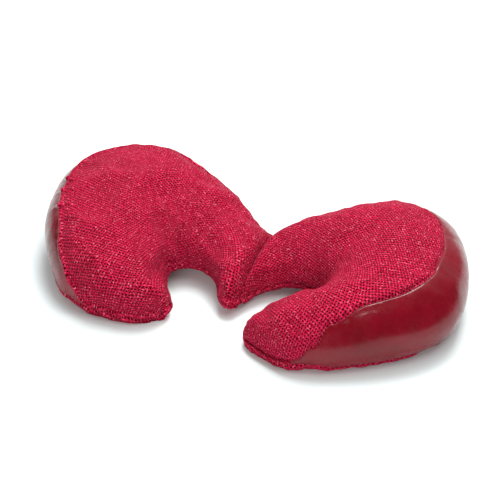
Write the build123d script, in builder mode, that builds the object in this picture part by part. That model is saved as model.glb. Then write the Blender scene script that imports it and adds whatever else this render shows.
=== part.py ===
"""A double crescent support cushion: two stuffed C-shaped lobes that meet at a pinched, sewn waist.

Each lobe is a bag of three panels round a fibre filling. A knitted top and bottom panel are sewn
edge to edge along the notch, and a lens-shaped leatherette gusset widens the bag round its outer rim.
"""

from build123d import *
from collections import namedtuple
from math import cos, hypot, radians, sin, sqrt
import os

# Layers, from the outside in.
COVER = 2.0  # knit and leatherette thickness
FILLING_DEPTH = 6.0  # how far below the outside the packed fibre starts

# Sewn seams, as a thread line that stands a little proud between two panels.
SEAM_GAP = 2.6
SEAM_WIDTH = 1.3
SEAM_PROUD = 0.7
SEAM_DEPTH = 1.6

# How a section swells: the exponents set how full it is towards the notch and towards the rim.
TOP_FULLNESS = (2.4, 3.2)
BOTTOM_FULLNESS = (1.9, 5.0)
SINK = 8.0  # how far the underside would bulge below its flat, were nothing under it
FLAT_BLEND = 2.0  # how softly the underside turns into its flat
FLAT_TRIM = 0.5  # what the floor plane takes off the flat
FLOOR_SIZE = 500.0

# The waist, where the two lobes are sewn together along a crease.
WAIST_CENTRE = (4.0, -13.0)
WAIST_HEADING = 69.0  # direction of the crease, in degrees from +X
WEB_HALF_LENGTH = 37.0
WEB_HALF_WIDTH = 2.4
WEB_END_HALF_WIDTH = 1.4
WEB_BOTTOM = 12.0
WEB_THICKNESS = 3.0

STITCH_LENGTH = 3.6
STITCH_RADIUS = 0.45
WAIST_STITCHES = 12
WAIST_STITCH_PITCH = 5.8

# Hand stitches across the lower gusset seam, over the gap through which a lobe was stuffed.
CLOSING_SECTION = 12
CLOSING_PROUD = 1.5

POINTS = 9  # spline points along one side of a panel's section

# A section runs from a point on the notch edge to a point on the rim. crown and base are the heights of its
# top and underside, edge and rim the heights of its two ends. upper and lower are where the gusset starts and
# ends, in degrees round the section from the notch edge over the top: 180 is the rim itself.
GUSSET_TIP = 6.0  # degrees between upper and lower at the gusset's pointed ends
Section = namedtuple("Section", "rim_x rim_y edge_x edge_y crown base edge rim upper lower")

LEFT_LOBE = [
    Section(13, 24, -14, -47, 18, 9, 13, 13, 180, 180),
    Section(3, 43, -22, -54, 46, 0, 12, 16, 177, 183),
    Section(-8, 65, -27, -45, 52, 0, 12, 19, 172, 187),
    Section(-24, 89, -29, -31, 58, 0, 13, 23, 158, 190),
    Section(-52, 117, -36, -16, 68, 0, 14, 27, 146, 198),
    Section(-88, 137, -49, -7, 76, 0, 15, 31, 140, 205),
    Section(-129, 133, -63, -7, 79, 0, 15, 32, 140, 208),
    Section(-162, 109, -72, -13, 79, 0, 15, 32, 140, 208),
    Section(-178, 64, -75, -22, 76, 0, 14, 31, 136, 208),
    Section(-178, 14, -74, -34, 70, 0, 12, 27, 136, 206),
    Section(-165, -28, -71, -45, 60, 0, 11, 19, 150, 196),
    Section(-153, -44, -70, -50, 55, 0, 10, 14, 165, 190),
    Section(-136, -57, -69, -54, 49, 0, 9, 11, 177, 183),
    Section(-103, -68, -70, -58, 40, 0, 8, 8, 180, 180),
    Section(-83, -65, -73, -62, 24, 0, 8, 8, 180, 180),
]
RIGHT_LOBE = [
    Section(25, 20, -2, -50, 18, 9, 13, 13, 180, 180),
    Section(40, 31, 7, -38, 41, 0, 12, 16, 177, 183),
    Section(61, 40, 23, -31, 51, 0, 13, 24, 156, 190),
    Section(87, 44, 38, -32, 60, 0, 14, 28, 142, 198),
    Section(119, 45, 48, -38, 70, 0, 15, 31, 135, 204),
    Section(151, 35, 54, -45, 76, 0, 15, 32, 134, 208),
    Section(175, 11, 57, -52, 77, 0, 15, 32, 132, 208),
    Section(181, -30, 56, -58, 75, 0, 15, 30, 130, 208),
    Section(174, -73, 50, -63, 71, 0, 14, 27, 125, 208),
    Section(153, -109, 42, -65, 67, 0, 13, 26, 119, 208),
    Section(111, -128, 32, -66, 63, 0, 12, 23, 118, 205),
    Section(70, -135, 22, -69, 56, 0, 12, 18, 132, 199),
    Section(49, -135, 16, -72, 51, 0, 11, 16, 158, 190),
    Section(33, -132, 11, -73, 47, 0, 11, 12, 177, 183),
    Section(21, -125, 6, -77, 40, 0, 11, 9, 177, 183),
    Section(7, -114, 0, -81, 31, 0, 11, 8, 180, 180),
    Section(-5, -101, -5, -87, 19, 0, 10, 8, 180, 180),
]


def swell(fraction, fullness):
    """Thickness of a section at a fraction of its width, from 0 at both ends to nearly 1."""
    inner, outer = fullness
    return sqrt(max(0.0, (1 - (1 - fraction) ** inner) * (1 - fraction**outer)))


def width_of(section):
    return hypot(section.rim_x - section.edge_x, section.rim_y - section.edge_y)


def section_plane(section):
    """The upright plane of a section: its local x runs from the notch edge to the rim, its y up."""
    across = Vector(section.rim_x - section.edge_x, section.rim_y - section.edge_y, 0).normalized()
    return Plane((section.edge_x, section.edge_y, 0), x_dir=across, z_dir=across.cross(Vector(0, 0, 1)))


def outline_point(section, degrees, depth):
    """A point of the section's outline, depth below the outside, in the section's own plane."""
    degrees %= 360
    fraction = (1 - cos(radians(degrees))) / 2
    chord = section.edge + (section.rim - section.edge) * fraction
    base = section.base + depth
    if degrees <= 180:
        height = chord + (section.crown - depth - chord) * swell(fraction, TOP_FULLNESS)
    else:
        height = chord - (chord - base + SINK) * swell(fraction, BOTTOM_FULLNESS)
    rise = height - base
    height = base + (rise + hypot(rise, FLAT_BLEND)) / 2 - FLAT_TRIM
    return depth + (width_of(section) - 2 * depth) * fraction, height


def degrees_for(section, degrees, length):
    """How many degrees of the outline, near a place on it, are length long."""
    here, there = outline_point(section, degrees - 1, 0), outline_point(section, degrees + 1, 0)
    return 2 * length / hypot(there[0] - here[0], there[1] - here[1])


def between(before, a, b, after):
    """The section half way from a to b, on a smooth curve through four, with the seams' places in line."""
    curved = [(9 * (q + r) - p - t) / 16 for p, q, r, t in zip(before, a, b, after)]
    middle = Section(*curved)
    return middle._replace(upper=(a.upper + b.upper) / 2, lower=(a.lower + b.lower) / 2)


def refined(lobe):
    """The lobe with a section added half way between each two."""
    ends = [lobe[0], *lobe, lobe[-1]]
    halves = [between(*ends[i : i + 4]) for i in range(len(lobe) - 1)]
    return [s for pair in zip(lobe, halves) for s in pair] + [lobe[-1]]


def skin(lobe, spans):
    """A panel: a thin shell over the stretch of each section's outline given by its span of degrees."""
    with BuildPart() as panel:
        for section, (start, end) in zip(lobe, spans):
            angles = [start + (end - start) * i / (POINTS - 1) for i in range(POINTS)]
            outer = [outline_point(section, a, 0) for a in angles]
            inner = [outline_point(section, a, COVER) for a in reversed(angles)]
            with BuildSketch(section_plane(section)):
                with BuildLine():
                    Spline(*outer)
                    Line(outer[-1], inner[0])
                    Spline(*inner)
                    Line(inner[-1], outer[0])
                make_face()
        loft(ruled=True)
    return panel


def seam(lobe, places):
    """A run of seam thread: a narrow strip along the given place of each section's outline."""
    with BuildPart() as strip:
        for section, degrees in zip(lobe, places):
            half = degrees_for(section, degrees, SEAM_WIDTH / 2)
            outer = [outline_point(section, degrees + side * half, -SEAM_PROUD) for side in (-1, 1)]
            inner = [outline_point(section, degrees + side * half, SEAM_DEPTH) for side in (1, -1)]
            with BuildSketch(section_plane(section)):
                with BuildLine():
                    Polyline(*outer, *inner, close=True)
                make_face()
        loft(ruled=True)
    return strip


def core(lobe, depth):
    """A closed solid of the lobe's shape, depth below its outside."""
    top_angles = [180 * i / (POINTS - 1) for i in range(POINTS)]
    bottom_angles = [180 + a for a in top_angles]
    with BuildPart() as body:
        for section in lobe[1:-1]:
            with BuildSketch(section_plane(section)):
                with BuildLine():
                    Spline(*(outline_point(section, a, depth) for a in top_angles))
                    Spline(*(outline_point(section, a, depth) for a in bottom_angles))
                make_face()
        loft(ruled=True)
    return body


def flat_underside(panel):
    """The panel cut by the floor plane, so that it rests on a true flat."""
    with BuildPart() as cut:
        add(panel.part)
        with BuildSketch(Plane.XY):
            Rectangle(FLOOR_SIZE, FLOOR_SIZE)
        extrude(amount=-COVER, mode=Mode.SUBTRACT)
    return cut


def closing_stitches(lobe):
    """Short hand stitches that cross the lower gusset seam, on sections a few millimetres apart."""
    near = lobe[CLOSING_SECTION - 2 : CLOSING_SECTION + 3]
    with BuildPart() as stitches:
        for section in refined(refined(near))[4:-4]:
            plane = section_plane(section)
            centre = plane.from_local_coords(outline_point(section, section.lower, -CLOSING_PROUD))
            ahead = plane.from_local_coords(outline_point(section, section.lower + 1, -CLOSING_PROUD))
            with BuildSketch(Plane(centre, z_dir=ahead - centre)):
                Circle(STITCH_RADIUS)
            extrude(amount=STITCH_LENGTH / 2, both=True)
    return stitches


def waist_plane(height, facing):
    """A level plane over or under the waist, with its x along the crease."""
    crease = Vector(cos(radians(WAIST_HEADING)), sin(radians(WAIST_HEADING)), 0)
    return Plane((*WAIST_CENTRE, height), x_dir=crease, z_dir=(0, 0, facing))


def waist_web():
    """The flat tape of doubled fabric that the lobes hang on, narrower towards its ends."""
    half = [
        (-WEB_HALF_LENGTH, WEB_END_HALF_WIDTH),
        (0, WEB_HALF_WIDTH),
        (WEB_HALF_LENGTH, WEB_END_HALF_WIDTH),
    ]
    with BuildPart() as web:
        with BuildSketch(waist_plane(WEB_BOTTOM, 1)):
            with BuildLine():
                Polyline(*half, *((x, -y) for x, y in reversed(half)), close=True)
            make_face()
        extrude(amount=WEB_THICKNESS)
    return web


def waist_stitches():
    """A row of straight stitches along each face of the web."""
    with BuildPart() as rows:
        for height, facing in ((WEB_BOTTOM + WEB_THICKNESS, 1), (WEB_BOTTOM, -1)):
            with BuildSketch(waist_plane(height, facing)):
                with GridLocations(WAIST_STITCH_PITCH, 1, WAIST_STITCHES, 1):
                    SlotOverall(STITCH_LENGTH, 2 * STITCH_RADIUS)
            extrude(amount=STITCH_RADIUS)
    return rows


def save(piece, label):
    piece.part.label = label
    export_step(piece.part, f"parts/{label}.step")


def make_lobe(side, lobe):
    """Every piece of one lobe."""
    gusset = [s for s in lobe if s.lower - s.upper >= GUSSET_TIP]
    finger = lobe[lobe.index(gusset[-1]) + 1 :]

    def past(section, degrees, gaps):
        return degrees + degrees_for(section, degrees, gaps * SEAM_GAP)

    top_spans = [(past(s, 0, 0.5), past(s, s.upper, -0.5)) for s in lobe]
    bottom_spans = [(past(s, s.lower, 0.5), past(s, 360, -0.5)) for s in lobe]
    gusset_spans = [(past(s, s.upper, 0.5), past(s, s.lower, -0.5)) for s in gusset]

    save(skin(lobe, top_spans), f"{side}_top_panel")
    save(flat_underside(skin(lobe, bottom_spans)), f"{side}_bottom_panel")
    save(skin(gusset, gusset_spans), f"{side}_rim_gusset")
    save(seam(gusset, [s.upper for s in gusset]), f"{side}_upper_gusset_seam")
    save(seam(gusset, [s.lower for s in gusset]), f"{side}_lower_gusset_seam")
    save(seam(lobe, [0 for s in lobe]), f"{side}_notch_seam")
    save(seam(finger, [180 for s in finger]), f"{side}_finger_seam")
    save(closing_stitches(lobe), f"{side}_closing_stitches")
    save(core(lobe, FILLING_DEPTH), f"{side}_filling")


os.makedirs("parts", exist_ok=True)
make_lobe("left", refined(LEFT_LOBE))
make_lobe("right", refined(RIGHT_LOBE))
save(waist_web(), "waist_web")
save(waist_stitches(), "waist_stitches")
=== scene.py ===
"""The look of a double crescent cushion: two stuffed knitted lobes with leatherette gussets and one waist."""

import math

import bpy
import numpy as np
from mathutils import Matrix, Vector


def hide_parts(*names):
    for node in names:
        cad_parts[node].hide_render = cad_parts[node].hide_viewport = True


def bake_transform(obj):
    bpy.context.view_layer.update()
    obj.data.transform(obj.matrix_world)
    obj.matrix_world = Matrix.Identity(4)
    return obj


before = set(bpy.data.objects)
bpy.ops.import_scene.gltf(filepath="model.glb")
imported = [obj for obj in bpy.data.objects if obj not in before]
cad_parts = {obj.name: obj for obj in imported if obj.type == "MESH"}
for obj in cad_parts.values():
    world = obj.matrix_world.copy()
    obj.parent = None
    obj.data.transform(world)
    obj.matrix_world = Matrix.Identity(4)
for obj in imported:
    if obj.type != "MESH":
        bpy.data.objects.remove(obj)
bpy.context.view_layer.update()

MM = 0.001

# The CAD part's sections, in millimetres, with the fuller waist and rounder tips that soft fabric has. Each
# runs from the notch edge to the rim, and its numbers are named below.
LEFT_LOBE = [
    (17, 22, -12, -54, 19, 14, 10, 24, 179, 181),
    (14, 25, -17, -57, 43, 2, 11, 23, 178, 182),
    (4, 43, -23, -56, 51, 0, 12, 20, 177, 183),
    (-7, 65, -27, -46, 54, 0, 12, 20, 172, 186),
    (-23, 89, -29, -31, 59, 0, 13, 23, 158, 190),
    (-52, 117, -36, -16, 68, 0, 14, 27, 146, 198),
    (-88, 137, -49, -7, 76, 0, 15, 31, 140, 205),
    (-129, 133, -63, -7, 79, 0, 15, 32, 140, 208),
    (-162, 109, -72, -13, 79, 0, 15, 32, 140, 208),
    (-178, 64, -75, -22, 76, 0, 14, 31, 136, 208),
    (-178, 14, -74, -34, 70, 0, 12, 27, 136, 206),
    (-165, -28, -71, -45, 60, 0, 11, 19, 150, 196),
    (-152, -44, -70, -50, 55, 0, 10, 14, 166, 188),
    (-136, -57, -69, -54, 49, 0, 9, 11, 178, 182),
    (-103, -68, -70, -58, 41, 0, 8, 8, 179, 181),
    (-85, -66, -72, -62, 29, 0, 8, 8, 179, 181),
    (-76, -64, -75, -63, 10, 6, 8, 8, 179, 181),
]
RIGHT_LOBE = [
    (17, 22, -12, -54, 19, 14, 10, 24, 179, 181),
    (22, 23, -8, -51, 37, 2, 11, 24, 178, 182),
    (40, 31, 4, -39, 48, 0, 12, 21, 177, 183),
    (61, 40, 22, -31, 54, 0, 13, 24, 160, 190),
    (87, 44, 38, -32, 61, 0, 14, 28, 144, 198),
    (119, 45, 48, -38, 70, 0, 15, 31, 136, 204),
    (151, 35, 54, -45, 76, 0, 15, 32, 135, 208),
    (175, 11, 57, -52, 77, 0, 15, 32, 133, 208),
    (181, -30, 56, -58, 75, 0, 15, 30, 130, 208),
    (174, -73, 50, -63, 71, 0, 14, 27, 125, 208),
    (153, -109, 42, -65, 67, 0, 13, 26, 119, 208),
    (111, -128, 32, -66, 63, 0, 12, 23, 118, 205),
    (70, -135, 22, -69, 56, 0, 12, 18, 132, 199),
    (49, -135, 16, -72, 51, 0, 11, 16, 158, 190),
    (33, -132, 11, -73, 47, 0, 11, 12, 177, 183),
    (19, -125, 5, -77, 40, 0, 11, 8, 178, 182),
    (5, -112, -2, -82, 31, 0, 11, 7, 179, 181),
    (-4, -102, -6, -89, 22, 0, 10, 7, 179, 181),
    (-8, -96, -8, -93, 13, 6, 9, 8, 179, 181),
]
# Where a section's rim and notch edge are, its highest and lowest heights, the heights of its edge and rim,
# and the degrees round the section at which the gusset's upper and lower seams lie.
RIM_X, RIM_Y, EDGE_X, EDGE_Y, CROWN, BASE, EDGE_Z, RIM_Z, UPPER, LOWER = range(10)
TOP_FULLNESS = (2.4, 3.2)  # how steeply a section rises at the notch edge and falls at the rim
BOTTOM_FULLNESS = (1.9, 5.0)
SINK = 8.0  # how far a stuffed underside would sag below the floor before it is pressed flat
SINK_RISE = 9.0  # the height of the chord at which the whole sink is reached
FLAT_BLEND = 2.0  # how gradually the underside turns flat
FLAT_TRIM = 0.5  # how far the floor then cuts into it
LEAST_HEIGHT = 2.0  # of any section, from base to crown
FLOOR_GAP = 0.05  # between the underside and the floor
GUSSET_TIP = 6.0  # degrees between a gusset's seams where its pointed ends stop

SKIN = 1.5  # thickness of knit and leatherette
SKIN_TAPER, LEAST_SKIN = 6, 0.15  # rows over which a panel thins out at each end, and to what share
PRESSED_SKIN = 0.3  # share of the thickness that stays where the underside is pressed on the floor
FILLING_DEPTH = 6.0

# Seams pull the fabric in, and it rolls over on both sides of them.
GROOVE_DEPTH, GROOVE_WIDTH, GROOVE_SET = 1.3, 1.9, 1.4
ROLL_HEIGHT, ROLL_PLACE, ROLL_WIDTH = 0.7, 5.5, 4.0
PUCKER_HEIGHT, PUCKER_REACH, PUCKER_LENGTH, PUCKER_START = 1.1, 9.0, 11.0, 1.6
# Two sizes of ripple: how many to a pucker's length, and how slowly they change round the section.
LONG_RIPPLE, SHORT_RIPPLE = (1.7, 60), (3.6, 40)
SHORT_RIPPLE_SHARE = 0.6

# The fabric is nowhere quite smooth: height and breadth of its broad and fine unevenness.
BROAD_HEIGHT, BROAD_SIZE = 0.9, 27
FINE_HEIGHT, FINE_SIZE = 0.35, 11
END_EASE = (14, 10)  # how far from the waist and from the tip all this fades out
LEATHER_HOLD = 0.85  # how much of the knit's small relief the leatherette is spared
LEATHER_EDGE = 9  # width of the change from knit to leatherette behaviour, centred on the seam

# Soft folds and dents in the top panels: x, y, heading in degrees, half length, half width, depth, all mm.
FOLDS = {
    "left": [
        (-73, 4, 120, 20, 3.8, 2.8),
        (-60, 9, 97, 21, 3.6, 3.1),
        (-47, 9, 74, 20, 3.4, 2.8),
        (-36, 0, 52, 16, 3.6, 2.2),
        (-86, -4, 150, 16, 6.0, 1.7),
        (-14, 20, 70, 22, 7.0, 1.3),
    ],
    "right": [
        (60, -50, 42, 22, 5.0, 1.6),
        (84, -30, 16, 24, 7.0, 1.3),
        (24, -6, 100, 18, 5.0, 1.4),
        (22, -6, 72, 24, 6.0, 1.1),
    ],
}
FOLD_WAVE, FOLD_WAVE_LENGTH = 2.0, 9  # a fold wanders sideways this much
# Three gathers in the left gusset seam: section number and depth.
GATHERS = [(8.75, 3.6), (9.15, 3.4), (9.6, 3.2)]
GATHER_WIDTH = 1.7
GATHER_REACH = 15.0


# ---------------------------------------------------------------- shape

def rows_at(table, places):
    """A lobe's sections at any places, counted in sections, on natural cubics; gusset angles stay in line."""
    rows = np.array(table, float)
    n = len(rows)
    system = np.zeros((n, n))
    known = np.zeros_like(rows)
    system[0, 0] = system[-1, -1] = 1
    for i in range(1, n - 1):
        system[i, i - 1 : i + 2] = (1, 4, 1)
        known[i] = 6 * (rows[i + 1] - 2 * rows[i] + rows[i - 1])
    bend = np.linalg.solve(system, known)
    i = np.minimum(np.asarray(places).astype(int), n - 2)
    f = (places - i)[:, None]
    g = 1 - f
    out = g * rows[i] + f * rows[i + 1] + ((g**3 - g) * bend[i] + (f**3 - f) * bend[i + 1]) / 6
    ease = f * f * (3 - 2 * f)
    out[:, UPPER:] = ((1 - ease) * rows[i] + ease * rows[i + 1])[:, UPPER:]
    out[:, CROWN] = np.maximum(out[:, CROWN], out[:, BASE] + LEAST_HEIGHT)
    return out


def swell(fraction, fullness):
    """How full a section is, from 0 to 1, at a fraction of the way from the notch edge to the rim."""
    inner, outer = fullness
    return np.sqrt(np.clip((1 - (1 - fraction) ** inner) * (1 - fraction**outer), 0, None))


def section_points(rows, degrees):
    """Points in mm on sections at the given degrees round them; degrees is (rows, columns)."""
    a = degrees % 360.0
    r = rows[:, None, :]
    fraction = (1 - np.cos(np.radians(a))) / 2
    chord = r[..., EDGE_Z] + (r[..., RIM_Z] - r[..., EDGE_Z]) * fraction
    top = chord + (r[..., CROWN] - chord) * swell(fraction, TOP_FULLNESS)
    sink = SINK * np.clip((chord - r[..., BASE]) / SINK_RISE, 0, 1)
    bottom = chord - (chord - r[..., BASE] + sink) * swell(fraction, BOTTOM_FULLNESS)
    rise = np.where(a <= 180, top, bottom) - r[..., BASE]
    z = r[..., BASE] + (rise + np.hypot(rise, FLAT_BLEND)) / 2 - FLAT_TRIM
    x = r[..., EDGE_X] + (r[..., RIM_X] - r[..., EDGE_X]) * fraction
    y = r[..., EDGE_Y] + (r[..., RIM_Y] - r[..., EDGE_Y]) * fraction
    return np.stack([x, y, z], -1)


def spline_sample(grid, u, v):
    """A grid of vectors read at fractional places u and v with cubic B-splines; v wraps round."""
    def taps(x):
        i = np.floor(x).astype(int)
        f = x - i
        return i, ((1 - f) ** 3 / 6, (3 * f**3 - 6 * f**2 + 4) / 6,
                   (-3 * f**3 + 3 * f**2 + 3 * f + 1) / 6, f**3 / 6)
    i, wu = taps(u)
    j, wv = taps(v)
    out = np.zeros(u.shape + grid.shape[2:])
    for a in range(4):
        for b in range(4):
            part = grid[np.clip(i + a - 1, 0, grid.shape[0] - 1), (j + b - 1) % grid.shape[1]]
            out += (wu[a] * wv[b])[..., None] * part
    return out


def grid_normals(points):
    """Outward normals of a grid of points whose rows run along a lobe and whose columns run over its top."""
    normals = np.cross(np.gradient(points, axis=0), np.gradient(points, axis=1))
    return normals / np.maximum(np.linalg.norm(normals, axis=-1, keepdims=True), 1e-9)


def grid_faces(rows, columns, closed=False):
    """Quads of a grid of vertices, row by row."""
    across = columns if closed else columns - 1
    i, j = np.meshgrid(np.arange(rows - 1), np.arange(across), indexing="ij")
    k = (j + 1) % columns
    corners = [i * columns + j, (i + 1) * columns + j, (i + 1) * columns + k, i * columns + k]
    return np.stack(corners, -1).reshape(-1, 4)


def new_mesh(name, points, faces, material=None, uv=None):
    """A smooth-shaded object from points in mm, with a UV map in metres if given one place per point."""
    mesh = bpy.data.meshes.new(name)
    points = np.asarray(points, float).reshape(-1, 3)
    faces = np.asarray(faces, np.int32)
    mesh.vertices.add(len(points))
    mesh.vertices.foreach_set("co", (points * MM).astype(np.float32).ravel())
    mesh.loops.add(faces.size)
    mesh.loops.foreach_set("vertex_index", faces.ravel())
    mesh.polygons.add(len(faces))
    starts = np.arange(0, faces.size, faces.shape[1], dtype=np.int32)
    mesh.polygons.foreach_set("loop_start", starts)
    mesh.update(calc_edges=True)
    mesh.validate()
    mesh.polygons.foreach_set("use_smooth", np.ones(len(mesh.polygons), bool))
    if uv is not None:
        layer = mesh.uv_layers.new(name="panel")
        corner = np.zeros(len(mesh.loops), np.int32)
        mesh.loops.foreach_get("vertex_index", corner)
        places = np.asarray(uv, float).reshape(-1, 2)[corner] * MM
        layer.data.foreach_set("uv", places.astype(np.float32).ravel())
    piece = bpy.data.objects.new(name, mesh)
    bpy.context.scene.collection.objects.link(piece)
    if material:
        mesh.materials.append(material)
    return piece


NOISE_CELLS = 64


def noise(x, y, seed):
    """Smooth value noise from -1 to 1, with features about one unit across."""
    table = np.random.default_rng(seed).uniform(-1, 1, (NOISE_CELLS, NOISE_CELLS))
    i, j = np.floor(x).astype(int), np.floor(y).astype(int)
    f, g = x - i, y - j
    f, g = f * f * (3 - 2 * f), g * g * (3 - 2 * g)
    def at(a, b):
        return table[a % NOISE_CELLS, b % NOISE_CELLS]
    near = at(i, j) * (1 - f) + at(i + 1, j) * f
    far = at(i, j + 1) * (1 - f) + at(i + 1, j + 1) * f
    return near * (1 - g) + far * g


# ---------------------------------------------------------------- stuffing, by cloth simulation

SIM_ROWS, SIM_COLUMNS = 96, 72
SIM_FRAMES = 20
SIM_CAP = 6.0  # mm that a point may move
KNIT_SHARE = 0.6  # how much of the simulated shape the knit takes
LEATHER_SHARE = 0.12  # and the stiffer leatherette
SEWN_REACH = 6.0  # mm from a seam within which the fabric is held
SEWN_FULL = 1.2  # the hold at a seam; what is over 1 widens it
WAIST_HOLD = 0.03  # fractions of the length held at the waist and at the tip
TIP_HOLD_START, TIP_HOLD = 0.97, 0.02
RESTING_HEIGHT = 0.6  # mm under which the underside stands on the floor
FINE_PLACES = 1200  # at which a lobe's length is measured
TOP_MIDDLE = 125.0  # degrees round a section, about the middle of the visible top
SLIVER = 0.02  # mm added to each step, so that the length always grows
ROUND = 359.999  # degrees just short of a whole turn
WRAP = 360.001  # and just past it, so that 360 itself is not taken for 0


class Lobe:
    """One lobe's outside: its sections, how stuffing moves them, and the seams, puckers and folds on them."""

    def __init__(self, side, table, seed):
        self.side, self.table, self.seed = side, table, seed
        fine = np.linspace(0, len(table) - 1, FINE_PLACES)
        rows = rows_at(table, fine)
        middle = section_points(rows, np.full((len(rows), 1), TOP_MIDDLE))[:, 0]
        step = np.linalg.norm(np.diff(middle, axis=0), axis=1) + SLIVER
        run = np.concatenate([[0], np.cumsum(step)])
        self.length = run[-1]
        self.fine, self.run = fine, run / run[-1]
        self.shift = np.zeros((SIM_ROWS, SIM_COLUMNS, 3))
        self.shift = self.stuffed()

    def rows(self, along):
        """Sections at fractions of the lobe's length."""
        return rows_at(self.table, np.interp(along, self.run, self.fine))

    def along(self, place):
        """The fraction of the lobe's length at a place counted in sections."""
        return float(np.interp(place, self.fine, self.run))

    def girth(self, rows):
        """Length round each section up to each whole degree, in mm."""
        steps = np.arange(0, 361.0)
        points = section_points(rows, np.tile(np.minimum(steps, ROUND), (len(rows), 1)))
        lengths = np.linalg.norm(np.diff(points, axis=1), axis=2)
        return steps, np.concatenate([np.zeros((len(rows), 1)), np.cumsum(lengths, 1)], 1)

    def stuffed(self):
        """How far stuffing moves each point, from a simulation of the sewn fabric under pressure."""
        rows = self.rows(np.linspace(0, 1, SIM_ROWS))
        steps, girth = self.girth(rows)
        share = np.arange(SIM_COLUMNS) / SIM_COLUMNS
        even = np.stack([np.interp(share * g[-1], g, steps) for g in girth])
        rest = section_points(rows, even)
        faces = grid_faces(SIM_ROWS, SIM_COLUMNS, closed=True)
        bag = new_mesh(f"{self.side}_bag_sim", rest, faces)
        gap = np.minimum(np.abs(even - rows[:, UPPER, None]), np.abs(even - rows[:, LOWER, None]))
        gap = np.minimum(gap, np.minimum(even, 360 - even))
        sewn = np.clip(SEWN_FULL - gap / SEWN_REACH, 0, 1)
        along = np.linspace(0, 1, SIM_ROWS)[:, None]
        sewn = np.maximum(sewn, np.clip(1 - along / WAIST_HOLD, 0, 1))
        sewn = np.maximum(sewn, np.clip((along - TIP_HOLD_START) / TIP_HOLD, 0, 1))
        sewn = np.where((rest[..., 2] < RESTING_HEIGHT) & (even > 180), 1.0, sewn).ravel()
        group = bag.vertex_groups.new(name="sewn")
        for i in np.flatnonzero(sewn > 0):
            group.add([int(i)], float(sewn[i]), "REPLACE")
        settings = bag.modifiers.new("stuffing", "CLOTH").settings
        settings.quality = 6
        settings.mass = 0.15
        settings.tension_stiffness = settings.compression_stiffness = 25
        settings.shear_stiffness = 8
        settings.bending_stiffness = 0.6
        settings.use_pressure = True
        settings.uniform_pressure_force = 3.0
        settings.shrink_min = settings.shrink_max = -0.045
        settings.vertex_group_mass = "sewn"
        settings.effector_weights.gravity = 0
        for number in range(1, SIM_FRAMES + 1):
            bpy.context.scene.frame_set(number)
        posed = bag.evaluated_get(bpy.context.evaluated_depsgraph_get()).to_mesh()
        points = np.zeros(rest.size)
        posed.vertices.foreach_get("co", points)
        shift = points.reshape(rest.shape) / MM - rest
        bpy.context.scene.frame_set(1)
        bpy.data.objects.remove(bag)
        size = np.linalg.norm(shift, axis=2, keepdims=True)
        return shift * np.minimum(1, SIM_CAP / np.maximum(size, 1e-9))

    def seam_places(self, rows, degrees):
        """Lengths in mm round each section: from the notch edge to each point, all round, to both seams."""
        steps, girth = self.girth(rows)
        here = np.stack([np.interp(d, steps, g) for d, g in zip(degrees % WRAP, girth)])
        upper, lower = (np.array([np.interp(d, steps, g) for d, g in zip(rows[:, seam], girth)])[:, None]
                        for seam in (UPPER, LOWER))
        return here, girth[:, -1:], upper, lower

    def points(self, along, degrees):
        """The finished outside, in mm, at fractions of the length (rows) and degrees round the section."""
        rows = self.rows(along)
        rest = section_points(rows, degrees)
        here, total, girth_upper, girth_lower = self.seam_places(rows, degrees)
        notch = np.minimum(here, total - here)
        upper, lower = np.abs(here - girth_upper), np.abs(here - girth_lower)
        u = np.broadcast_to((along * (SIM_ROWS - 1))[:, None], here.shape)
        inside = np.minimum(here - girth_upper, girth_lower - here)
        inside = np.clip(inside / LEATHER_EDGE + 0.5, 0, 1)
        share = KNIT_SHARE + (LEATHER_SHARE - KNIT_SHARE) * inside * inside * (3 - 2 * inside)
        points = rest + spline_sample(self.shift, u, here / total * SIM_COLUMNS) * share[..., None]
        normals = grid_normals(points)
        nearest = np.minimum(np.minimum(notch, upper), lower)
        from_waist, from_tip = along * self.length, (1 - along) * self.length
        ends = np.minimum(from_waist / END_EASE[0], from_tip / END_EASE[1])
        ends = np.clip(ends, 0, 1)[:, None]
        soft = 1 - LEATHER_HOLD * inside
        knit_side = np.maximum(girth_upper - here, here - girth_lower)
        groove = np.exp(-((notch / GROOVE_WIDTH) ** 2))
        groove += np.exp(-(((knit_side - GROOVE_SET) / GROOVE_SET) ** 2))
        out = -GROOVE_DEPTH * groove
        out += ROLL_HEIGHT * np.exp(-(((nearest - ROLL_PLACE) / ROLL_WIDTH) ** 2)) * soft
        out += self.puckers(along, nearest, here) * soft
        x, y = points[..., 0], points[..., 1]
        out += BROAD_HEIGHT * noise(x / BROAD_SIZE, y / BROAD_SIZE, self.seed) * (1 - 0.5 * inside)
        out += FINE_HEIGHT * noise(x / FINE_SIZE, y / FINE_SIZE, self.seed + 1) * soft
        if degrees[0, 0] < 180:  # the grid starts on the top
            out -= self.folds(points)
        if self.side == "left":
            out -= self.gathers(along, upper) * soft
        points = points + normals * (out * ends)[..., None]
        points[..., 2] = np.maximum(points[..., 2], FLOOR_GAP)
        return points

    def puckers(self, along, nearest, here):
        """Small ripples that a tight seam gathers in the fabric beside it."""
        place = along[:, None] * self.length / PUCKER_LENGTH
        ripple = noise(place * LONG_RIPPLE[0], here / LONG_RIPPLE[1] + 3, self.seed + 2)
        short = noise(place * SHORT_RIPPLE[0], here / SHORT_RIPPLE[1], self.seed + 3)
        ripple += SHORT_RIPPLE_SHARE * short
        fade = np.exp(-nearest / PUCKER_REACH) * (1 - np.exp(-((nearest / PUCKER_START) ** 2)))
        return PUCKER_HEIGHT * ripple * fade

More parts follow.
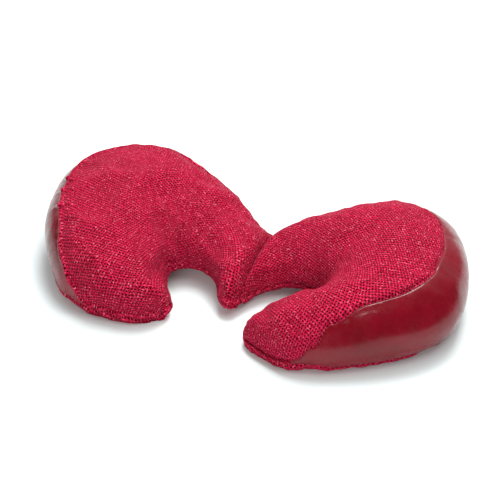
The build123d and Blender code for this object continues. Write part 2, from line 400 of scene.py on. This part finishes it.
    def folds(self, points):
        """Soft valleys in the top."""
        out = np.zeros(points.shape[:-1])
        for x, y, heading, length, width, depth in FOLDS[self.side]:
            angle = math.radians(heading)
            dx, dy = points[..., 0] - x, points[..., 1] - y
            ahead = dx * math.cos(angle) + dy * math.sin(angle)
            aside = dy * math.cos(angle) - dx * math.sin(angle)
            aside += FOLD_WAVE * np.sin(ahead / FOLD_WAVE_LENGTH)
            out += depth * np.exp(-((ahead / length) ** 2) - (aside / width) ** 2)
        return out

    def gathers(self, along, upper):
        """The tucks where the gusset seam is drawn together."""
        out = np.zeros(upper.shape)
        for place, depth in GATHERS:
            gap = (along[:, None] - self.along(place)) * self.length
            out += depth * np.exp(-((gap / GATHER_WIDTH) ** 2) - (upper / GATHER_REACH) ** 2)
        return out


# ---------------------------------------------------------------- materials

class Shader:
    """A node material, built by naming nodes and what goes into them."""

    def __init__(self, name):
        self.material = bpy.data.materials.new(name)
        self.material.use_nodes = True
        self.tree = self.material.node_tree
        self.tree.nodes.clear()
        self.surface = self.node("ShaderNodeBsdfPrincipled")
        output = self.node("ShaderNodeOutputMaterial")
        self.tree.links.new(self.surface.outputs["BSDF"], output.inputs["Surface"])

    def node(self, kind, inputs=None, **settings):
        made = self.tree.nodes.new(kind)
        for name, value in settings.items():
            setattr(made, name, value)
        for name, value in (inputs or {}).items():
            self.put(made.inputs[name], value)
        return made

    def put(self, socket, value):
        if isinstance(value, bpy.types.NodeSocket):
            self.tree.links.new(value, socket)
        else:
            socket.default_value = value

    def set(self, **inputs):
        for name, value in inputs.items():
            self.put(self.surface.inputs[name.replace("_", " ")], value)

    def math(self, operation, a, b=0.0):
        return self.node("ShaderNodeMath", {0: a, 1: b}, operation=operation).outputs[0]

    def step(self, value, low, high, to_low=0.0, to_high=1.0):
        inputs = {"Value": value, "From Min": low, "From Max": high, "To Min": to_low, "To Max": to_high}
        return self.node("ShaderNodeMapRange", inputs, interpolation_type="SMOOTHSTEP").outputs[0]

    def mix(self, share, a, b):
        node = self.node("ShaderNodeMix", data_type="RGBA", blend_type="MIX")
        for socket, value in ((node.inputs[0], share), (node.inputs[6], a), (node.inputs[7], b)):
            self.put(socket, value)
        return node.outputs[2]

    def grain(self, at, scale, detail, roughness=0.5):
        inputs = {"Scale": scale, "Detail": detail, "Roughness": roughness, "Vector": at}
        return self.node("ShaderNodeTexNoise", inputs).outputs[0]

    def place(self):
        """Coordinates in metres fixed to the object."""
        return self.node("ShaderNodeTexCoord").outputs["Object"]

    def panel(self):
        """The fabric's own flat coordinates, in metres."""
        return self.node("ShaderNodeUVMap", uv_map="panel").outputs[0]

    def vector(self, operation, inputs):
        return self.node("ShaderNodeVectorMath", inputs, operation=operation).outputs[0]

    def bump(self, height, distance, strength):
        inputs = {"Height": height, "Distance": distance, "Strength": strength}
        return self.node("ShaderNodeBump", inputs).outputs[0]


def colour(red, green, blue):
    return (red, green, blue, 1.0)


KNIT_WALE, KNIT_COURSE = 2.7, 3.9  # mm between holes across and along the knit
KNIT_WANDER = 0.0011  # metres that a loop may sit out of line
KNIT_DEEP = colour(0.38, 0.000, 0.022)
KNIT_RED = colour(0.52, 0.000, 0.038)
KNIT_PATCH = colour(0.82, 0.020, 0.095)
# painted highlight on the crests of the loops
KNIT_PAINTED_LOOP_HIGHLIGHT = colour(0.86, 0.020, 0.100)
# painted glint on the shiny yarn
KNIT_PAINTED_GLINT = colour(1.0, 0.100, 0.190)
# painted sparkle
KNIT_SPARK = colour(1.0, 0.22, 0.30)
KNIT_SHADE = colour(0.17, 0.000, 0.010)
# painted shade inside the mesh's holes
KNIT_PAINTED_HOLE_SHADE = colour(0.045, 0.000, 0.002)
KNIT_SHEEN = colour(1.0, 0.25, 0.4)


def knit_material(name, turn):
    """Red warp-knit mesh: staggered small holes between shiny loops, with painted highlights on the loops,
    painted glints and sparkles, and painted shade in the holes.
    """
    s = Shader(name)
    turned = s.node("ShaderNodeVectorRotate", {"Vector": s.panel(), "Angle": turn},
                    rotation_type="Z_AXIS").outputs[0]
    wander = s.node("ShaderNodeTexNoise", {"Scale": 260.0, "Detail": 1.0, "Vector": turned}).outputs[1]
    shift = s.vector("SUBTRACT", {0: wander, 1: (0.5, 0.5, 0.5)})
    shift = s.vector("SCALE", {0: shift, "Scale": KNIT_WANDER})
    at = s.vector("ADD", {0: turned, 1: shift})
    split = s.node("ShaderNodeSeparateXYZ", {0: at})
    across = s.math("MULTIPLY", split.outputs[0], 2 * math.pi / (KNIT_WALE * MM))
    down = s.math("MULTIPLY", split.outputs[1], 2 * math.pi / (KNIT_COURSE * MM))
    lattice = s.math("MULTIPLY", s.math("COSINE", across), s.math("COSINE", down))
    hole = s.step(lattice, 0.10, 0.62)
    loops = s.math("MULTIPLY", s.math("SINE", s.math("MULTIPLY", across, 2.0)),
                   s.math("SINE", s.math("MULTIPLY", down, 2.0)))
    strand = s.step(loops, -0.5, 0.8)
    # spots of shiny yarn: glossier and raised, and lit up in the colour as painted glints
    glossy_spot_and_painted_glint = s.step(s.grain(at, 1100.0, 2.0), 0.50, 0.68)
    tone = s.grain(s.place(), 40.0, 3.0)
    patch = s.grain(at, 520.0, 1.0)
    base = s.mix(s.step(tone, 0.3, 0.7), KNIT_DEEP, KNIT_RED)
    base = s.mix(s.math("MULTIPLY", s.step(patch, 0.42, 0.7), 0.5), base, KNIT_PATCH)
    # the loops lightened: a painted highlight on their crests (the same strand mask also raises them in the
    # bump)
    base = s.mix(s.math("MULTIPLY", strand, 0.45), base, KNIT_PAINTED_LOOP_HIGHLIGHT)
    # painted glints where the yarn shines
    base = s.mix(s.math("MULTIPLY", glossy_spot_and_painted_glint, 0.75), base, KNIT_PAINTED_GLINT)
    cell = s.node("ShaderNodeTexVoronoi", {"Scale": 1150.0, "Vector": at}).outputs["Color"]
    cell = s.node("ShaderNodeSeparateColor", {0: cell}).outputs[0]
    # a few random cells lit up: painted sparkle
    base = s.mix(s.step(cell, 0.93, 0.99, to_high=0.7), base, KNIT_SPARK)
    base = s.mix(s.step(cell, 0.45, 0.05, to_high=0.7), base, KNIT_SHADE)
    # the holes painted near black: painted shade inside them (the same hole mask also sinks them in the bump)
    base = s.mix(s.math("MULTIPLY", hole, 0.97), base, KNIT_PAINTED_HOLE_SHADE)
    height = s.math("SUBTRACT", s.math("MULTIPLY", strand, 0.35), hole)
    height = s.math("ADD", height, s.math("MULTIPLY", glossy_spot_and_painted_glint, 0.25))
    s.set(Base_Color=base, Roughness=s.step(glossy_spot_and_painted_glint, 0, 1, 0.7, 0.45), Normal=s.bump(height, 0.0008, 1.0))
    s.set(Specular_IOR_Level=0.04, Sheen_Weight=0.08, Sheen_Roughness=0.4, Sheen_Tint=KNIT_SHEEN)
    return s.material


LEATHER_DARK = colour(0.15, 0.001, 0.007)
LEATHER_RED = colour(0.22, 0.002, 0.013)
LEATHER_PIT = colour(0.16, 0.0, 0.002)


def leather_material():
    """Glossy deep red leatherette with a fine pebble and soft creases."""
    s = Shader("red_leatherette")
    at = s.place()
    pebble = s.node("ShaderNodeTexVoronoi", {"Scale": 900.0, "Vector": at},
                    feature="SMOOTH_F1").outputs["Distance"]
    crease = s.grain(at, 90.0, 4.0, 0.6)
    cloud = s.grain(at, 28.0, 3.0)
    base = s.mix(s.step(cloud, 0.3, 0.7), LEATHER_DARK, LEATHER_RED)
    base = s.mix(s.math("MULTIPLY", s.step(pebble, 0.25, 0.75), 0.35), base, LEATHER_PIT)
    height = s.math("ADD", s.math("MULTIPLY", pebble, -0.22), crease)
    s.set(Base_Color=base, Roughness=s.step(s.grain(at, 160.0, 3.0), 0.3, 0.7, 0.20, 0.32))
    s.set(Normal=s.bump(height, 0.0006, 0.35), Specular_IOR_Level=0.32)
    s.set(Coat_Weight=0.14, Coat_Roughness=0.10, Coat_IOR=1.5)
    return s.material


def thread_material():
    """Twisted polyester sewing thread."""
    s = Shader("red_thread")
    twist = s.node("ShaderNodeTexWave", {"Scale": 900.0, "Distortion": 1.5, "Vector": s.place()},
                   bands_direction="DIAGONAL").outputs["Fac"]
    base = s.mix(twist, colour(0.14, 0.0, 0.008), colour(0.36, 0.004, 0.028))
    s.set(Base_Color=base, Roughness=0.45, Normal=s.bump(twist, 0.0002, 0.6), Sheen_Weight=0.2)
    return s.material


def web_material():
    """Dark red woven tape at the waist."""
    s = Shader("waist_tape")
    at = s.place()
    rib = s.node("ShaderNodeTexWave", {"Scale": 420.0, "Distortion": 0.6, "Vector": at},
                 bands_direction="Y").outputs["Fac"]
    tone = s.grain(at, 60.0, 3.0)
    base = s.mix(rib, colour(0.10, 0.0, 0.006), colour(0.26, 0.003, 0.022))
    base = s.mix(s.math("MULTIPLY", s.step(tone, 0.35, 0.7), 0.4), base, colour(0.16, 0.001, 0.01))
    s.set(Base_Color=base, Roughness=0.8, Normal=s.bump(rib, 0.0003, 0.7), Sheen_Weight=0.3)
    return s.material


def fibre_material():
    """White polyester fibre filling."""
    s = Shader("fibre_filling")
    at = s.place()
    strand = s.grain(at, 380.0, 5.0, 0.75)
    base = s.mix(strand, colour(0.62, 0.60, 0.58), colour(0.88, 0.87, 0.85))
    s.set(Base_Color=base, Roughness=0.95, Normal=s.bump(strand, 0.002, 0.9), Sheen_Weight=0.5,
          Subsurface_Weight=0.1)
    return s.material


# ---------------------------------------------------------------- pieces

PANEL_ROWS = 340
TOP_COLUMNS, BOTTOM_COLUMNS, GUSSET_COLUMNS = 96, 84, 44
FLAT_ROWS, FLAT_COLUMNS = 70, 20  # of the coarse grid that a panel's flat coordinates come from
EVEN_SHARE, CROWDED_SHARE = 0.55, 0.45


def crowded(count):
    """Fractions from 0 to 1 that crowd together at both ends, where the seams are."""
    even = np.linspace(0, 1, count)
    return EVEN_SHARE * even + CROWDED_SHARE * (1 - np.cos(math.pi * even)) / 2


def edge_total(grid):
    """The summed length of all edges of a grid of points."""
    across = np.linalg.norm(np.diff(grid, axis=1), axis=-1).sum()
    return across + np.linalg.norm(np.diff(grid, axis=0), axis=-1).sum()


def flattened(points):
    """Low-stretch flat coordinates, in mm, of a grid of points: the shape that the panel was cut to."""
    rows, columns = points.shape[:2]
    pattern = new_mesh("pattern_tmp", points, grid_faces(rows, columns), uv=points[..., :2])
    bpy.ops.object.select_all(action="DESELECT")
    pattern.select_set(True)
    bpy.context.view_layer.objects.active = pattern
    bpy.ops.object.mode_set(mode="EDIT")
    bpy.ops.mesh.select_all(action="SELECT")
    bpy.ops.uv.unwrap(method="MINIMUM_STRETCH", margin=0)
    bpy.ops.object.mode_set(mode="OBJECT")
    mesh = pattern.data
    corner = np.zeros(len(mesh.loops), np.int32)
    mesh.loops.foreach_get("vertex_index", corner)
    uv = np.zeros(len(mesh.loops) * 2)
    mesh.uv_layers[0].data.foreach_get("uv", uv)
    flat = np.zeros((rows * columns, 2))
    flat[corner] = uv.reshape(-1, 2)
    bpy.data.objects.remove(pattern)
    flat = flat.reshape(rows, columns, 2)
    flat = flat * edge_total(points) / edge_total(flat)
    flat -= flat.mean((0, 1))
    ground = points[..., :2] - points[..., :2].mean((0, 1))
    turn, _, back = np.linalg.svd(np.einsum("ijk,ijl->kl", flat, ground))
    return flat @ turn @ back


def stretched(coarse, rows, columns):
    """A coarse grid read at more rows and columns."""
    u = np.linspace(0, coarse.shape[0] - 1, rows)
    v = np.linspace(0, coarse.shape[1] - 1, columns)
    i = np.minimum(u.astype(int), coarse.shape[0] - 2)
    j = np.minimum(v.astype(int), coarse.shape[1] - 2)
    f, g = (u - i)[:, None, None], (v - j)[None, :, None]
    low = coarse[i][:, j] * (1 - f) + coarse[i + 1][:, j] * f
    high = coarse[i][:, j + 1] * (1 - f) + coarse[i + 1][:, j + 1] * f
    return low * (1 - g) + high * g


def cloth_sheet(name, points, material, flat):
    """A closed sheet: the outside grid, the same grid one skin further in, and a rim that joins them."""
    rows, columns = points.shape[:2]
    ends = np.minimum(np.arange(rows), np.arange(rows)[::-1]) / SKIN_TAPER
    depth = SKIN * np.clip(ends, LEAST_SKIN, 1)[:, None, None]
    inside = points - grid_normals(points) * depth
    inside[..., 2] = np.maximum(inside[..., 2], FLOOR_GAP + PRESSED_SKIN * depth[..., 0])
    outer = grid_faces(rows, columns)
    number = np.arange(rows * columns).reshape(rows, columns)
    loop = np.concatenate([number[0, :-1], number[:-1, -1], number[-1, :0:-1], number[:0:-1, 0]])
    ahead = np.roll(loop, -1)
    rim = np.stack([ahead, loop, loop + number.size, ahead + number.size], -1)
    faces = np.concatenate([outer, outer[:, ::-1] + number.size, rim[:, ::-1]])
    return new_mesh(name, np.stack([points, inside]), faces, material, np.stack([flat, flat]))


def panel(lobe, name, start, end, columns, material):
    """A panel between two seams, given as functions of the sections."""
    def grid(rows, across):
        along = np.linspace(0.0, 1.0, rows)
        sections = lobe.rows(along)
        low, high = start(sections)[:, None], end(sections)[:, None]
        return lobe.points(along, low + (high - low) * across[None, :])
    coarse = crowded(FLAT_COLUMNS)
    flat = stretched(flattened(grid(FLAT_ROWS, coarse)), PANEL_ROWS, columns)
    across = np.interp(np.linspace(0, FLAT_COLUMNS - 1, columns), np.arange(FLAT_COLUMNS), coarse)
    return cloth_sheet(name, grid(PANEL_ROWS, across), material, flat)


SEAM_BESIDE = 3.0  # degrees to each side of a seam that show which way the fabric runs


def seam_line(lobe, place, span, count):
    """Points, and the outward, sideways and forward directions, along a seam; place gives its degrees."""
    along = np.linspace(*span, count)
    beside = np.array([-SEAM_BESIDE, 0.0, SEAM_BESIDE])
    degrees = place(lobe.rows(along))[:, None] + beside[None, :]
    degrees = np.where(degrees < 0, degrees + 360, degrees)
    points = lobe.points(along, degrees)
    ahead = np.gradient(points[:, 1], axis=0)
    ahead /= np.maximum(np.linalg.norm(ahead, axis=1, keepdims=True), 1e-9)
    aside = points[:, 2] - points[:, 0]
    aside -= ahead * np.sum(aside * ahead, 1, keepdims=True)
    aside /= np.maximum(np.linalg.norm(aside, axis=1, keepdims=True), 1e-9)
    return points[:, 1], np.cross(ahead, aside), aside, ahead


WELT_ROWS, WELT_SIDES = 260, 14
WELT_ROOT = 1.6  # mm that a welt reaches into the seam
WELT_EASE = 8  # mm over which it rises at its ends
WELT_WOBBLE, WELT_LEAN = 0.14, 0.35  # how much its height and its lean vary


def welt(lobe, name, place, span, height, width, material):
    """A raised flange: the doubled edge of two panels, turned out along their seam."""
    line, out, aside, _ = seam_line(lobe, place, span, WELT_ROWS)
    run = np.concatenate([[0], np.cumsum(np.linalg.norm(np.diff(line, axis=0), axis=1))])
    ends = np.clip(np.minimum(run, run[-1] - run) / WELT_EASE, 0.05, 1) ** 0.5
    tall = (height * (1 + WELT_WOBBLE * noise(run / 9, run * 0, lobe.seed + 5)) * ends)[:, None]
    lean = (WELT_LEAN * noise(run / 12, run * 0 + 2, lobe.seed + 6))[:, None]
    angle = np.linspace(0, 2 * math.pi, WELT_SIDES, endpoint=False)[None, :]
    up = (np.sin(angle) * 0.5 + 0.5) * (tall + WELT_ROOT) - WELT_ROOT
    side = np.cos(angle) * width / 2 * (1 + 0.25 * np.sin(angle)) + lean * up * 0.4
    points = line[:, None] + out[:, None] * up[..., None] + aside[:, None] * side[..., None]
    points[..., 2] = np.maximum(points[..., 2], FLOOR_GAP)
    faces = grid_faces(WELT_ROWS, WELT_SIDES, closed=True)
    uv = np.stack([np.broadcast_to(run[:, None], up.shape), up + side * 0.6], -1)
    return new_mesh(name, points, faces, material, uv)


STITCH_SAMPLES = 800
STITCH_RINGS, STITCH_SIDES = 7, 8
STITCH_SLANT = 0.06  # how much the stitches' directions vary


def stitches(lobe, name, place, span, pitch, length, radius, material, across=False, lift=0.15):
    """Separate rounded stitches in a row along a seam, or across it."""
    line, out, aside, ahead = seam_line(lobe, place, span, STITCH_SAMPLES)
    run = np.concatenate([[0], np.cumsum(np.linalg.norm(np.diff(line, axis=0), axis=1))])
    middles = np.arange(pitch / 2, run[-1] - pitch / 2, pitch)
    bow = np.linspace(-1, 1, STITCH_RINGS)
    thick = np.sqrt(np.clip(1 - bow**4, 0.02, 1)) * radius
    turn = np.linspace(0, 2 * math.pi, STITCH_SIDES, endpoint=False)
    points, faces, base = [], [], 0
    shape = grid_faces(STITCH_RINGS, STITCH_SIDES, closed=True)
    rng = np.random.default_rng(lobe.seed + 9)
    def read(grid, at):
        return np.array([np.interp(at, run, grid[:, k]) for k in range(3)])
    for middle in middles:
        centre, up = read(line, middle), read(out, middle)
        forward, lateral = read(ahead, middle), read(aside, middle)
        if across:
            forward, lateral = lateral, forward
        forward = forward + lateral * rng.normal(0, STITCH_SLANT)
        for step, size in zip(bow, thick):
            at = centre + forward * step * length / 2 + up * (lift + radius * 0.5 - 0.5 * radius * step**2)
            points.append(at + np.outer(np.cos(turn), lateral) * size + np.outer(np.sin(turn), up) * size)
        faces.append(shape + base)
        base += STITCH_RINGS * STITCH_SIDES
    return new_mesh(name, np.concatenate(points), np.concatenate(faces), material)


FILLING_ROWS, FILLING_COLUMNS = 130, 72
FILLING_SPAN = (0.045, 0.975)  # fractions of the lobe's length
TUFT_HEIGHT, TUFT_SIZE = 0.8, 7


def filling(lobe, name, material):
    """The packed fibre: the lobe's own shape, smaller, with tufts."""
    rows, columns = FILLING_ROWS, FILLING_COLUMNS
    along = np.linspace(*FILLING_SPAN, rows)
    degrees = np.tile(np.linspace(0, 360, columns, endpoint=False) + 0.01, (rows, 1))
    points = lobe.points(along, degrees)
    middle = points.mean(1, keepdims=True)
    away = points - middle
    size = np.linalg.norm(away, axis=-1, keepdims=True)
    x, y, z = np.moveaxis(points, -1, 0)
    tuft = noise(x / TUFT_SIZE, (y + z) / TUFT_SIZE, lobe.seed + 12)
    depth = FILLING_DEPTH + TUFT_HEIGHT * tuft[..., None]
    points = middle + away * np.clip(1 - depth / np.maximum(size, 1e-6), 0.1, 1)
    points[..., 2] = np.clip(points[..., 2], FILLING_DEPTH - 1 + 0.5 * tuft, None)
    grid = np.concatenate([middle[:1].repeat(columns, 1), points, middle[-1:].repeat(columns, 1)])
    return new_mesh(name, grid, grid_faces(rows + 2, columns, closed=True), material)


def finish_piece(piece, side, nodes):
    """Bakes a piece's placement into its mesh and hides the CAD nodes it stands for."""
    if side == "left":
        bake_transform(piece)
    else:
        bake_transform(piece)
    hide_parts(*nodes)


# Welts and stitches in mm; spans and overlaps are fractions of a lobe's length.
SEAM_SPAN = (0.004, 0.992)
GUSSET_TIP_ROWS = 0.35  # sections by which the gusset's seams run on past its last wide section
FINGER_OVERLAP = 0.004  # of the finger seam on the gusset's seams
NOTCH_WELT = {"height": 2.6, "width": 2.2}
FINGER_WELT = {"height": 3.2, "width": 2.4}
MACHINE_STITCH = {"pitch": 3.2, "length": 2.3, "radius": 0.33}
HAND_STITCH = {"pitch": 4.0, "length": 3.8, "radius": 0.42, "across": True, "lift": 0.7}
CLOSED_BY_HAND = (5.6, 6.6)  # the sections between which the lower gusset seam is closed by hand


# Where the seams are, in degrees round each section.

def notch_top(sections):
    return sections[:, UPPER] * 0.0


def notch_bottom(sections):
    return sections[:, UPPER] * 0.0 + 360.0


def upper_seam(sections):
    return sections[:, UPPER]


def lower_seam(sections):
    return sections[:, LOWER]


def rim_seam(sections):
    return (sections[:, UPPER] + sections[:, LOWER]) / 2


def make_lobe(side, table, seed, knit, leather, thread, fibre):
    """All pieces of one lobe, each in place of the CAD nodes it stands for, which are hidden."""
    lobe = Lobe(side, table, seed)
    sections = np.array(table, float)
    wide = np.flatnonzero(sections[:, LOWER] - sections[:, UPPER] >= GUSSET_TIP)
    gusset_span = (lobe.along(wide[0] - GUSSET_TIP_ROWS), lobe.along(wide[-1] + GUSSET_TIP_ROWS))
    finger_span = (gusset_span[1] - FINGER_OVERLAP, SEAM_SPAN[1])
    closing_span = tuple(lobe.along(place) for place in CLOSED_BY_HAND)

    top = panel(lobe, f"{side}_top_knit", notch_top, upper_seam, TOP_COLUMNS, knit)
    finish_piece(top, side, [f"{side}_top_panel"])
    under = panel(lobe, f"{side}_bottom_knit", lower_seam, notch_bottom, BOTTOM_COLUMNS, knit)
    finish_piece(under, side, [f"{side}_bottom_panel"])
    gusset = panel(lobe, f"{side}_gusset_leatherette", upper_seam, lower_seam, GUSSET_COLUMNS, leather)
    finish_piece(gusset, side, [f"{side}_rim_gusset"])

    notch = welt(lobe, f"{side}_notch_welt", notch_top, SEAM_SPAN, material=knit, **NOTCH_WELT)
    finish_piece(notch, side, [f"{side}_notch_seam"])
    finger = welt(lobe, f"{side}_finger_welt", rim_seam, finger_span, material=knit, **FINGER_WELT)
    finish_piece(finger, side, [f"{side}_finger_seam"])
    for label, place in (("upper", upper_seam), ("lower", lower_seam)):
        row = stitches(lobe, f"{side}_{label}_gusset_stitches", place, gusset_span, material=thread,
                       **MACHINE_STITCH)
        finish_piece(row, side, [f"{side}_{label}_gusset_seam"])
    closing = stitches(lobe, f"{side}_closing_hand_stitches", lower_seam, closing_span, material=thread,
                       **HAND_STITCH)
    finish_piece(closing, side, [f"{side}_closing_stitches"])
    stuffing = filling(lobe, f"{side}_fibre_filling", fibre)
    finish_piece(stuffing, side, [f"{side}_filling"])


# ---------------------------------------------------------------- the object

LOBES = [
    ("left", LEFT_LOBE, 11, math.radians(94)),
    ("right", RIGHT_LOBE, 47, math.radians(-42)),
]  # side, sections, seed, heading of the knit
leather = leather_material()
thread = thread_material()
fibre = fibre_material()
for side, table, seed, heading in LOBES:
    make_lobe(side, table, seed, knit_material(f"red_knit_{side}", heading), leather, thread, fibre)
for node, material in (("waist_web", web_material()), ("waist_stitches", thread)):
    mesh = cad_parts[node].data
    mesh.materials.clear()
    mesh.materials.append(material)


# ---------------------------------------------------------------- stage, light and camera

FLOOR_REACH = 6.0
AIM = Vector((0.003, -0.013, 0.030))  # near the middle of the object
ELEVATION = math.radians(35.0)
DISTANCE = 1.2
LENS = 101.6
FLOOR_COLOUR = colour(0.83, 0.92, 0.91)
PALE_SIDE = (0.0, 0.80, 0.60)
PALE_START, PALE_FULL = 0.45, 1.0  # nearness to the pale side, from where it brightens to where it is full
DIM, PALE = 0.10, 1.0
OFF_CENTRE = 0.0051  # the object stands this much right of and below the middle of the view


def stage_floor():
    """A plain pale floor."""
    half = FLOOR_REACH / MM / 2
    corners = [(-half, -half, 0), (half, -half, 0), (half, half, 0), (-half, half, 0)]
    s = Shader("pale_floor")
    s.set(Base_Color=FLOOR_COLOUR, Roughness=0.6, Specular_IOR_Level=0.2)
    floor = new_mesh("floor", corners, [[0, 1, 2, 3]], s.material)


def area_light(name, place, size, power, mirrored=True):
    """A square soft light that looks at the object; where not mirrored, gloss does not show it."""
    data = bpy.data.lights.new(name, "AREA")
    data.shape = "SQUARE"
    data.size = size
    data.energy = power
    lamp = bpy.data.objects.new(name, data)
    lamp.location = place
    lamp.visible_glossy = mirrored
    lamp.rotation_mode = "QUATERNION"
    lamp.rotation_quaternion = (AIM - Vector(place)).to_track_quat("-Z", "Y")
    bpy.context.scene.collection.objects.link(lamp)


def pale_room():
    """A world that is pale high behind the object and dim elsewhere."""
    world = bpy.data.worlds.new("pale_room")
    world.use_nodes = True
    nodes, links = world.node_tree.nodes, world.node_tree.links
    towards = nodes.new("ShaderNodeVectorMath")
    towards.operation = "DOT_PRODUCT"
    towards.inputs[1].default_value = PALE_SIDE
    links.new(nodes.new("ShaderNodeTexCoord").outputs["Generated"], towards.inputs[0])
    fade = nodes.new("ShaderNodeMapRange")
    fade.interpolation_type = "SMOOTHSTEP"
    inputs = {"From Min": PALE_START, "From Max": PALE_FULL, "To Min": DIM, "To Max": PALE}
    for name, value in inputs.items():
        fade.inputs[name].default_value = value
    links.new(towards.outputs["Value"], fade.inputs["Value"])
    links.new(fade.outputs[0], nodes["Background"].inputs["Strength"])
    nodes["Background"].inputs["Color"].default_value = colour(1.0, 1.0, 1.0)
    return world


def studio():
    """Soft light from above and behind, weak fills in front, and a small lamp that sparks on the gloss."""
    area_light("top_back", (0.20, 0.60, 1.33), 0.8, 24.0)
    area_light("left_fill", (-1.3, -0.5, 0.9), 1.2, 1.0, mirrored=False)
    area_light("front_fill", (-0.3, -1.5, 0.65), 0.9, 12.0, mirrored=False)
    area_light("right_top", (0.30, -0.20, 0.80), 0.5, 2.4, mirrored=False)
    area_light("front_spark", (0.25, -0.9, 1.6), 0.10, 0.8)
    bpy.context.scene.world = pale_room()
    bpy.context.scene.view_settings.view_transform = "Standard"


def camera():
    """A long lens in front of the object, as high as the photograph's."""
    ahead = Vector((0, math.cos(ELEVATION), -math.sin(ELEVATION)))
    right = Vector((1, 0, 0))
    up = right.cross(ahead)
    data = bpy.data.cameras.new("view")
    data.lens = LENS
    data.sensor_width = 36.0
    data.clip_start, data.clip_end = 0.05, 20.0
    eye = bpy.data.objects.new("view", data)
    eye.location = AIM - ahead * DISTANCE + (up - right) * OFF_CENTRE
    eye.rotation_mode = "QUATERNION"
    eye.rotation_quaternion = ahead.to_track_quat("-Z", "Y")
    bpy.context.scene.collection.objects.link(eye)
    bpy.context.scene.camera = eye


stage_floor()
studio()
camera()
